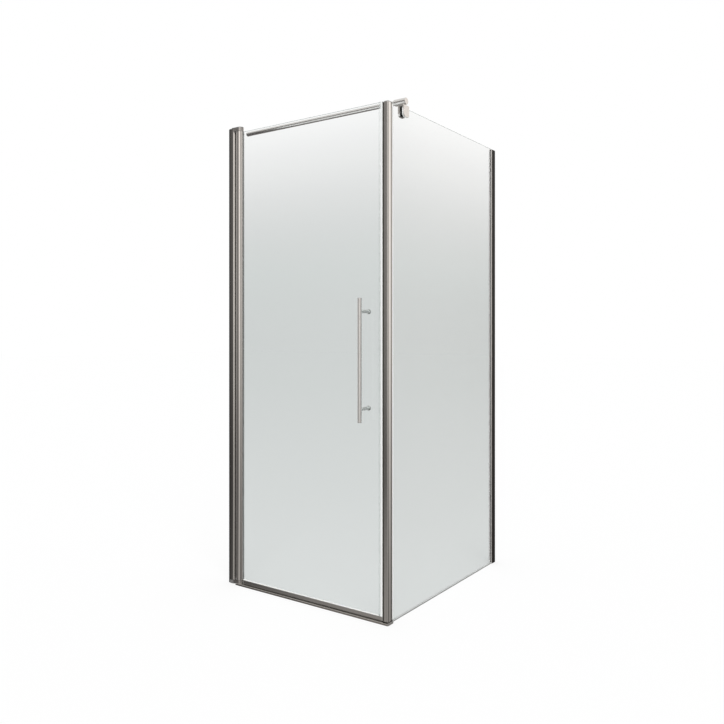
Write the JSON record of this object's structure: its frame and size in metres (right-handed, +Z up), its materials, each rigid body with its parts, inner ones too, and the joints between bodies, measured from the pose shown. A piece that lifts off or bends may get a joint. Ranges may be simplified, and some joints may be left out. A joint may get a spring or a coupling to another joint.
{
  "type": "corner shower enclosure",
  "caption": "Corner shower enclosure with an outward-opening pivot glass door, a corner post, a fixed glass side panel, a brace bar and a vertical pull handle.",
  "frame": {"origin": "middle of the base of the whole enclosure, on the shower tray", "axes": "+X along the door from the hinge wall to the corner post, +Y along the side panel from the corner post to the far wall, +Z up"},
  "size_m": [0.814, 0.959, 1.943],
  "materials": {
    "profile_silver": "polished silver",
    "channel_dark": "dark anodised",
    "cap_silver": "silver, satin",
    "cap_grey": "grey, satin",
    "shoe_dark": "grey, moulded",
    "seal_dark": "black, matt",
    "gasket_clear": "clear, soft",
    "seal_white": "white, translucent",
    "magnet_dark": "dark brown, matt",
    "glass_clear": "clear toughened glass",
    "cast_block": "cast, satin silver",
    "steel_bright": "stainless",
    "bush_white": "natural nylon",
    "chrome_bright": "polished"
  },
  "bodies": {
    "frame": {"hinge_expander": "profile_silver", "corner_post": "profile_silver", "side_adjust_profile": "profile_silver", "threshold_rail": "profile_silver", "hinge_wall_channel": "channel_dark", "side_wall_channel": "channel_dark", "hinge_top_cap": "cap_silver", "side_top_cap": "cap_silver", "post_top_cap": "cap_grey", "post_bottom_cap": "cap_grey", "threshold_left_cap": "cap_grey", "threshold_right_cap": "cap_grey", "hinge_base_shoe": "shoe_dark", "hinge_gap_seal": "seal_dark", "brace_clamp_pads": "seal_dark", "side_glazing_gaskets": "seal_dark", "side_bottom_seal": "gasket_clear", "post_glazing_gaskets": "seal_white", "post_magnet_core": "magnet_dark", "post_magnet_seal": "magnet_dark", "side_glass": "glass_clear", "top_pivot_block": "cast_block", "bottom_pivot_block": "cast_block", "pivot_pins": "steel_bright", "pivot_block_screws": "steel_bright", "hinge_lock_screws": "steel_bright", "side_lock_screws": "steel_bright", "brace_grub_screws": "steel_bright", "thrust_washers": "bush_white", "brace_bar": "chrome_bright", "brace_wall_plug": "chrome_bright", "brace_barrel": "chrome_bright", "brace_end_cap": "chrome_bright", "brace_clamp_neck": "chrome_bright", "brace_clamp_fork": "chrome_bright"},
    "door": {"door_glass": "glass_clear", "door_stile": "profile_silver", "door_bottom_rail": "profile_silver", "rail_end_caps": "cap_grey", "stile_bottom_plug": "bush_white", "stile_top_plug": "bush_white", "pivot_bushes": "bush_white", "handle_sleeves": "bush_white", "stile_gaskets": "gasket_clear", "handle_washers": "gasket_clear", "door_magnet_seal": "seal_white", "door_drip_seal": "seal_white", "rail_gasket": "seal_white", "door_magnet_core": "magnet_dark", "handle_bar": "chrome_bright", "handle_end_caps": "chrome_bright", "handle_standoffs": "chrome_bright", "handle_cap_nuts": "chrome_bright", "handle_studs": "steel_bright"}
  },
  "joints": [
    {"name": "door_swing", "type": "hinge", "parent": "frame", "child": "door", "pos_m": [-0.347, -0.4205, 0], "axis": [0, 0, -1], "range_deg": [0, 90]}
  ]
}
